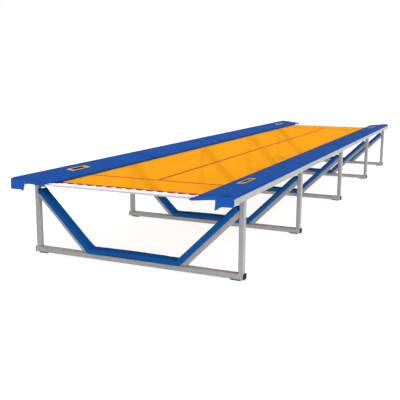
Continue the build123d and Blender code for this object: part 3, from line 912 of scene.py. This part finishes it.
def one_spring(sides=8):
    """A spring of the right-hand row at Y = 0: a close coil that narrows to a hook at each end."""
    z = (SPRINGS_LOW.z + SPRINGS_HIGH.z) / 2
    radius = (SPRINGS_HIGH.z - SPRINGS_LOW.z) / 2
    hook = 0.029
    start, end = SPRINGS_LOW.x + hook, SPRINGS_HIGH.x - hook
    profile = bpy.data.meshes.new("profile")
    taper = ((-0.008, 0.25), (0, 0.9), (0.004, 1.0))
    places = [(start + out, share) for out, share in taper]
    places += [(end - out, share) for out, share in reversed(taper)]
    verts = [(x, 0, radius * share) for x, share in places]
    edges = [(n, n + 1) for n in range(len(verts) - 1)]
    profile.from_pydata(verts, edges, [])
    coil = bpy.data.objects.new("coil", profile)
    bpy.context.scene.collection.objects.link(coil)
    modify(
        coil, "SCREW", axis="X", angle=math.tau, steps=sides, render_steps=sides,
        use_merge_vertices=True, merge_threshold=SAME_PLACE,
    )
    close_ends(coil)
    coil.data.transform(Matrix.Translation((0, 0, z)))
    hooks = []
    for tip, inward, away in ((SPRINGS_LOW.x, start, 1), (SPRINGS_HIGH.x, end, -1)):
        path = [
            (inward, 0, z),
            (inward - away * 0.012, 0, z + 0.002),
            (tip + away * 0.006, 0, z),
            (tip + away * 0.002, 0, z - 0.006),
            (tip + away * 0.005, 0, z - 0.009),
        ]
        hooks.append(pipe("hook", path, 0.002, sides=0))
    return smooth(joined([coil] + hooks, "spring_pattern"), 50)


def close_ends(obj):
    """Fills the open rims of a shell and turns its faces outwards."""
    choose(obj)
    bpy.ops.object.mode_set(mode="EDIT")
    bpy.ops.mesh.select_all(action="DESELECT")
    bpy.ops.mesh.select_mode(type="EDGE")
    bpy.ops.mesh.select_non_manifold(extend=False)
    bpy.ops.mesh.fill_holes(sides=0)
    bpy.ops.object.mode_set(mode="OBJECT")
    return tidy_shell(obj)


def one_ring():
    """A long wire ring at Y = 0 on the right-hand edge of the bed."""
    bpy.ops.object.select_all(action="DESELECT")
    bpy.ops.mesh.primitive_torus_add(
        major_segments=8, minor_segments=5, major_radius=0.013, minor_radius=0.002,
        location=((BED_HIGH.x + RINGS_HIGH.x) / 2 - 0.003, 0, (RINGS_LOW.z + RINGS_HIGH.z) / 2),
    )
    ring = named("ring_pattern")
    ring.scale = (1.35, 0.85, 1)
    return smooth(settle(ring), 60)


# ---------------------------------------------------------------- ropes
class TRACK_OT_ropes(bpy.types.Operator):
    """Make the taut end ropes, the cord wound between each and the bed, and the tabs over the cord"""

    bl_idname = "track.ropes"
    bl_label = "Ropes and Cord"

    def execute(self, context):
        ropes = context.scene.track_ropes
        fibre = rope_fibre("Rope fibre", ropes.white)
        tab_cloth = webbing("White webbing", ropes.white)
        turns = wound_cord(ropes.cord)
        tab = one_tab()
        places = [TAB_PITCH * (n + 0.5) for n in range(TABS_PER_END // 2)]
        for end, toward in ENDS.items():
            rope = laid_rope(f"end_rope_{end}", toward * ROPE_Y, ropes.lay)
            if toward > 0:
                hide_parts("end_ropes")
            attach(paint(rope, fibre), "frame")
            for side, sign in SIDES.items():
                for number, x in enumerate(places, 1):
                    cord = twin(turns, f"cord_{end}_{side}_{number}", (sign, toward, 1), (sign * x, 0, 0))
                    if toward > 0 and sign > 0 and number == 1:
                        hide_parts("end_lacing")
                    hang(paint(cord, fibre), sign, toward, x)
        for side, sign in SIDES.items():
            row = []
            for toward in ENDS.values():
                for x in places:
                    row.append(twin(tab, "tab", (sign, toward, 1), (sign * x, 0, 0)))
            tabs = joined(row, f"end_tabs_{side}")
            if sign > 0:
                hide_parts("bed_end_tabs")
            sag(smooth(paint(tabs, tab_cloth), 50))
        bpy.data.objects.remove(turns)
        bpy.data.objects.remove(tab)
        return {"FINISHED"}


def hang(cord, sign, toward, x):
    """Bakes the transform of a length of cord, already running from the rope to the bed's edge, into its
    mesh; its slope toward the bed is worked out but not used.
    """
    sunk = 1 - x / SAG_START
    slope = Vector((-sign / SAG_START, -toward * sunk / (ROPE_Y - STITCH_Y), 0))
    start = Vector((sign * x, toward * ROPE_Y, 0))
    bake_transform(cord)


def one_tab(sides=28):
    """A webbing tab of the far end at X = 0, round at its inner end and square at the bed's edge."""
    bpy.ops.object.select_all(action="DESELECT")
    bpy.ops.mesh.primitive_cylinder_add(vertices=sides, radius=1, depth=1)
    tab = named("tab_pattern")
    half = TAB_LENGTH / 2
    for vertex in tab.data.vertices:
        x, y = vertex.co.x, vertex.co.y
        if y > 0:
            x = math.copysign(abs(x) ** 0.3, x)
            y = y ** 0.3
        vertex.co.x = x * TAB_WIDTH / 2
        vertex.co.y = BED_HIGH.y - half + y * half
        vertex.co.z = TABS_LOW.z + (TABS_HIGH.z - TABS_LOW.z) * (vertex.co.z + 0.5)
    return modify(tab, "BEVEL", width=0.0007, segments=2, limit_method="ANGLE")


def wound_cord(radius, turns=8):
    """One tab's length of the far end's cord: turns round the rope and in at the bed's edge."""
    pitch = TAB_PITCH / turns
    around = ROPE_RADIUS + radius + 0.0004
    path = []
    for step in range(7):
        angle = math.radians(100 - 200 * step / 6)
        x = pitch * 0.25 * math.cos(math.pi * step / 6)
        path.append((x, ROPE_Y + around * math.cos(angle), ROPE_Z + around * math.sin(angle)))
    path += [
        (-pitch * 0.1, (ROPE_Y + STITCH_Y) / 2, ROPE_Z - around * 0.55),
        (0, STITCH_Y + 0.006, ROPE_Z - 0.0015),
        (0, STITCH_Y - 0.004, ROPE_Z),
        (0, STITCH_Y + 0.006, ROPE_Z + 0.0015),
        (pitch * 0.1, (ROPE_Y + STITCH_Y) / 2, ROPE_Z + around * 0.55),
    ]
    cord = pipe("cord_pattern", path, radius, closed=True, sides=1)
    row_of(cord, turns, (pitch, 0, 0))
    cord.data.transform(Matrix.Translation((-(turns - 1) / 2 * pitch, 0, 0)))
    return cord


def laid_rope(name, y, lay, lobes=3, around=24):
    """A three-strand rope along X, twisted from a lobed bar."""
    half = ROPES_HIGH.x
    turns = 2 * half / lay
    rings = round(turns * 12)
    profile = bpy.data.meshes.new("rope_profile")
    verts = []
    for n in range(around):
        angle = math.tau * n / around
        radius = ROPE_RADIUS * (0.80 + 0.20 * abs(math.cos(lobes * angle / 2)) ** 0.6)
        verts.append((0, radius * math.cos(angle), radius * math.sin(angle)))
    profile.from_pydata(verts, [(n, (n + 1) % around) for n in range(around)], [])
    rope = bpy.data.objects.new(name, profile)
    bpy.context.scene.collection.objects.link(rope)
    modify(
        rope, "SCREW", axis="X", angle=math.tau * turns, screw_offset=2 * half,
        steps=rings, render_steps=rings, use_merge_vertices=False,
    )
    rope = close_ends(rope)
    rope.data.transform(Matrix.Translation((-half, y, ROPE_Z)))
    return smooth(rope, 75)


# ---------------------------------------------------------------- finishes of the frame's own nodes
class TRACK_OT_hardware(bpy.types.Operator):
    """Give every node that stays its finish"""

    bl_idname = "track.hardware"
    bl_label = "Hardware Finishes"

    def execute(self, context):
        steel = context.scene.track_steel
        finishes = {
            "galvanised_steel": galvanised("Galvanised", steel.zinc, steel.spangle),
            "zinc_hardware": plated("Zinc plate", steel.plating),
            "black_plastic": moulded("Black plastic", (0.0025, 0.0025, 0.0025, 1), 0.5),
            "foot_rubber": moulded("Foot rubber", (0.045, 0.045, 0.045, 1), 0.75, 250),
        }
        slots = {part["node"]: part["material_slot"] for part in frame["record"]["subparts"]}
        for node, obj in frame["nodes"].items():
            finish = finishes.get(slots[node])
            if finish is not None:
                obj.data.materials.clear()
                obj.data.materials.append(finish)
        return {"FINISHED"}


# ---------------------------------------------------------------- stage
class TRACK_OT_stage(bpy.types.Operator):
    """Make the floor, the light and the camera"""

    bl_idname = "track.stage"
    bl_label = "Stage"

    def execute(self, context):
        stage = context.scene.track_stage
        bpy.ops.object.select_all(action="DESELECT")
        bpy.ops.mesh.primitive_plane_add(size=400, location=(0, 0, -0.0005))
        floor = named("floor")
        pale = Finish("Floor")
        pale.set(
            Base_Color=tuple(stage.floor), Roughness=0.9, Specular_IOR_Level=0.0,
            Emission_Color=(1, 1, 1, 1), Emission_Strength=stage.glow,
        )
        floor.data.materials.append(pale.material)
        context.scene.world = studio_sky(stage.sky)
        sun("key_sun", stage.key, 20, Vector((0.59, 0, 0.81)))
        sun("fill_sun", stage.fill, 10, Vector((0.94, -0.28, 0.18)))
        bpy.ops.object.camera_add(location=(3.2657, -10.1748, 1.9789))
        camera = context.view_layer.objects.active
        turn = Matrix.Rotation(math.radians(23.954), 4, "Z")
        tilt = Matrix.Rotation(math.radians(90 - 11.106), 4, "X")
        roll = Matrix.Rotation(math.radians(0.374), 4, "Z")
        camera.matrix_world = Matrix.Translation(camera.location) @ turn @ tilt @ roll
        camera.data.lens = stage.lens
        camera.data.sensor_width = 36
        camera.data.clip_end = 500
        context.scene.camera = camera
        context.scene.view_settings.view_transform = "Standard"
        return {"FINISHED"}


def studio_sky(strength):
    """An even white sky."""
    world = bpy.data.worlds.new("Studio")
    world.use_nodes = True
    background = world.node_tree.nodes["Background"]
    background.inputs["Color"].default_value = (1, 1, 1, 1)
    background.inputs["Strength"].default_value = strength
    return world


def sun(name, strength, width, source):
    """A soft sun, so many degrees wide, shining from a direction."""
    bpy.ops.object.light_add(type="SUN", location=source * 12)
    lamp = bpy.context.view_layer.objects.active
    lamp.name = name
    lamp.rotation_euler = (-source).to_track_quat("-Z", "Y").to_euler()
    lamp.data.energy = strength
    lamp.data.angle = math.radians(width)


class TRACK_PT_panel(bpy.types.Panel):
    """The steps that make the track, in order"""

    bl_label = "Tumbling Track"
    bl_idname = "TRACK_PT_panel"
    bl_space_type = "VIEW_3D"
    bl_region_type = "UI"
    bl_category = "Track"

    def draw(self, context):
        for step in STEPS:
            self.layout.operator(step.bl_idname)


STEPS = (
    TRACK_OT_stage,
    TRACK_OT_hardware,
    TRACK_OT_side_pads,
    TRACK_OT_leg_pads,
    TRACK_OT_end_flaps,
    TRACK_OT_patches,
    TRACK_OT_bed,
    TRACK_OT_springs,
    TRACK_OT_ropes,
)
SETTINGS = {
    "track_steel": TrackSteel,
    "track_covers": TrackCovers,
    "track_bed": TrackBed,
    "track_ropes": TrackRopes,
    "track_stage": TrackStage,
}


def register():
    for group in (*SETTINGS.values(), *STEPS, TRACK_PT_panel):
        bpy.utils.register_class(group)
    for name, group in SETTINGS.items():
        setattr(bpy.types.Scene, name, bpy.props.PointerProperty(type=group))


def unregister():
    for name in SETTINGS:
        delattr(bpy.types.Scene, name)
    for group in reversed((*SETTINGS.values(), *STEPS, TRACK_PT_panel)):
        bpy.utils.unregister_class(group)


def main():
    register()
    for step in STEPS:
        group, action = step.bl_idname.split(".")
        getattr(getattr(bpy.ops, group), action)()


if __name__ == "__main__":
    main()
